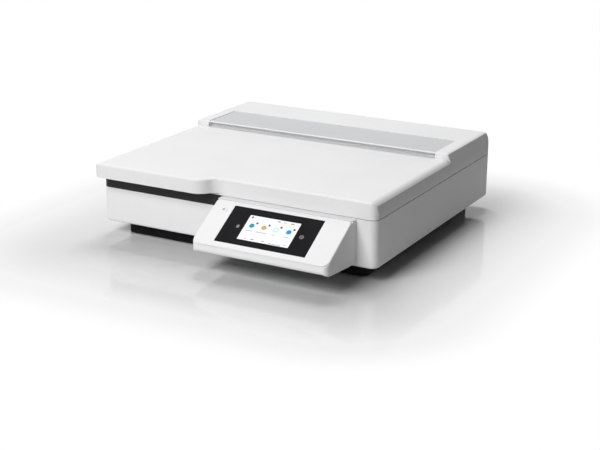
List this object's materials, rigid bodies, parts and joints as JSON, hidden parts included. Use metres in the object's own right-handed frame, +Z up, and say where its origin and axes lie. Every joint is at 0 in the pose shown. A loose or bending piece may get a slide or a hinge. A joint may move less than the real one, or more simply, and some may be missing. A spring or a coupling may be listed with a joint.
{
  "type": "multifunction inkjet printer",
  "caption": "Low white multifunction inkjet printer: hinged flatbed lid with a raised rear and ink flap, touch panel at the front, scan and print carriages inside.",
  "frame": {"origin": "middle of the outline's footprint on the floor", "axes": "+Z up, +X to the right seen from the front, +Y to the back"},
  "size_m": [0.555, 0.6032, 0.153],
  "materials": {
    "white_case": "fine moulded texture, satin white",
    "grey_flap": "fine moulded texture, light grey",
    "black_plastic": "black moulded plastic",
    "window_glass": "black printed cover glass, glossy",
    "screen": null,
    "bed_glass": "clear float glass with a faint green edge",
    "mat_white": "white foam sheet",
    "rubber": "black rubber",
    "zinc_steel": "zinc plated sheet steel",
    "bright_steel": "ground bright steel",
    "motor_steel": "plated motor can",
    "pulley_plastic": "natural acetal",
    "circuit_board": "green circuit board",
    "clear_film": "clear film with fine marks",
    "felt": "absorbent felt",
    "ink_black": "black ink tank",
    "ink_cyan": "cyan ink tank",
    "ink_magenta": "magenta ink tank",
    "ink_yellow": "yellow ink tank"
  },
  "bodies": {
    "base": {"base_shell": "white_case", "rear_panel": "white_case", "scan_frame": "white_case", "panel_housing": "white_case", "panel_face": "white_case", "plinth": "black_plastic", "front_band": "black_plastic", "scan_pan": "black_plastic", "platen": "black_plastic", "paper_guide": "black_plastic", "capping_station": "black_plastic", "power_inlet": "black_plastic", "panel_glass": "window_glass", "display": "screen", "flatbed_glass": "bed_glass", "rubber_feet": "rubber", "scan_belt": "rubber", "carriage_belt": "rubber", "feed_belt": "rubber", "print_chassis": "zinc_steel", "case_screws": "zinc_steel", "hinge_brackets": "zinc_steel", "power_supply": "zinc_steel", "port_board": "zinc_steel", "scan_rod": "bright_steel", "carriage_rod": "bright_steel", "scan_motor": "motor_steel", "carriage_motor": "motor_steel", "feed_motor": "motor_steel", "mainboard": "circuit_board", "panel_board": "circuit_board", "encoder_strip": "clear_film", "waste_ink_pad": "felt"},
    "lid": {"lid_shell": "white_case", "lid_lining": "white_case", "document_mat": "mat_white", "lid_screws": "zinc_steel", "hinge_pins": "bright_steel"},
    "flap": {"ink_flap": "grey_flap"},
    "scan_carriage": {"scan_holder": "black_plastic", "image_sensor": "black_plastic"},
    "scan_drive": {"scan_drive_pulley": "pulley_plastic"},
    "scan_idler": {"scan_idler_pulley": "pulley_plastic"},
    "print_carriage": {"carriage_body": "black_plastic", "print_head": "bright_steel", "ink_black": "ink_black", "ink_cyan": "ink_cyan", "ink_magenta": "ink_magenta", "ink_yellow": "ink_yellow"},
    "carriage_drive": {"carriage_drive_pulley": "pulley_plastic"},
    "carriage_idler": {"carriage_idler_pulley": "pulley_plastic"},
    "feed": {"feed_roller": "bright_steel", "feed_pulley": "pulley_plastic"},
    "exit": {"exit_shaft": "bright_steel", "exit_tyres": "rubber"},
    "feed_drive": {"motor_pulley": "pulley_plastic"},
    "pinch": {"pinch_rollers": "pulley_plastic"},
    "stars": {"star_wheels": "pulley_plastic"},
    "rear_flap": {"rear_door": "white_case"},
    "power_key": {"power_button": "white_case"}
  },
  "joints": [
    {"name": "lid_hinge", "type": "hinge", "parent": "base", "child": "lid", "pos_m": [0, 0.294, 0.12], "axis": [-1, 0, 0], "range_deg": [0, 75]},
    {"name": "flap_hinge", "type": "hinge", "parent": "lid", "child": "flap", "pos_m": [0, 0.2012, 0.151], "axis": [-1, 0, 0], "range_deg": [0, 100]},
    {"name": "scan_slide", "type": "slide", "parent": "base", "child": "scan_carriage", "axis": [1, 0, 0], "range_m": [0, 0.446]},
    {"name": "scan_drive_spin", "type": "hinge", "parent": "base", "child": "scan_drive", "pos_m": [-0.25, -0.0695, 0.0733], "axis": [0, 0, 1], "continuous": true},
    {"name": "scan_idler_spin", "type": "hinge", "parent": "base", "child": "scan_idler", "pos_m": [0.25, -0.0695, 0.0733], "axis": [0, 0, 1], "continuous": true},
    {"name": "carriage_slide", "type": "slide", "parent": "base", "child": "print_carriage", "axis": [1, 0, 0], "range_m": [0, 0.42]},
    {"name": "carriage_drive_spin", "type": "hinge", "parent": "base", "child": "carriage_drive", "pos_m": [0.248, 0.241, 0.108], "axis": [0, 1, 0], "continuous": true},
    {"name": "carriage_idler_spin", "type": "hinge", "parent": "base", "child": "carriage_idler", "pos_m": [-0.248, 0.241, 0.108], "axis": [0, 1, 0], "continuous": true},
    {"name": "feed_spin", "type": "hinge", "parent": "base", "child": "feed", "pos_m": [0.11, 0.232, 0.052], "axis": [1, 0, 0], "continuous": true},
    {"name": "exit_spin", "type": "hinge", "parent": "base", "child": "exit", "pos_m": [0.11, 0.132, 0.054], "axis": [1, 0, 0], "continuous": true},
    {"name": "motor_spin", "type": "hinge", "parent": "base", "child": "feed_drive", "pos_m": [0.26, 0.18, 0.044], "axis": [1, 0, 0], "continuous": true},
    {"name": "pinch_spin", "type": "hinge", "parent": "base", "child": "pinch", "pos_m": [0.11, 0.232, 0.0653], "axis": [1, 0, 0], "continuous": true},
    {"name": "star_spin", "type": "hinge", "parent": "base", "child": "stars", "pos_m": [0.11, 0.132, 0.0653], "axis": [1, 0, 0], "continuous": true},
    {"name": "rear_door_hinge", "type": "hinge", "parent": "base", "child": "rear_flap", "pos_m": [0.11, 0.2998, 0.0555], "axis": [-1, 0, 0], "range_deg": [0, 95]},
    {"name": "power_press", "type": "slide", "parent": "base", "child": "power_key", "axis": [0, 0.515, -0.8572], "range_m": [0, 0.0008], "stiffness_N_per_m": 1500}
  ],
  "couplings": [
    {"joint": "scan_drive_spin", "follows": "scan_slide", "rad_per_m": -126.58},
    {"joint": "scan_idler_spin", "follows": "scan_slide", "rad_per_m": -126.58},
    {"joint": "carriage_drive_spin", "follows": "carriage_slide", "rad_per_m": -126.58},
    {"joint": "carriage_idler_spin", "follows": "carriage_slide", "rad_per_m": -126.58},
    {"joint": "exit_spin", "follows": "feed_spin", "ratio": 1.3333},
    {"joint": "motor_spin", "follows": "feed_spin", "ratio": 1.5},
    {"joint": "pinch_spin", "follows": "feed_spin", "ratio": -1.6},
    {"joint": "star_spin", "follows": "feed_spin", "ratio": -1.6}
  ]
}
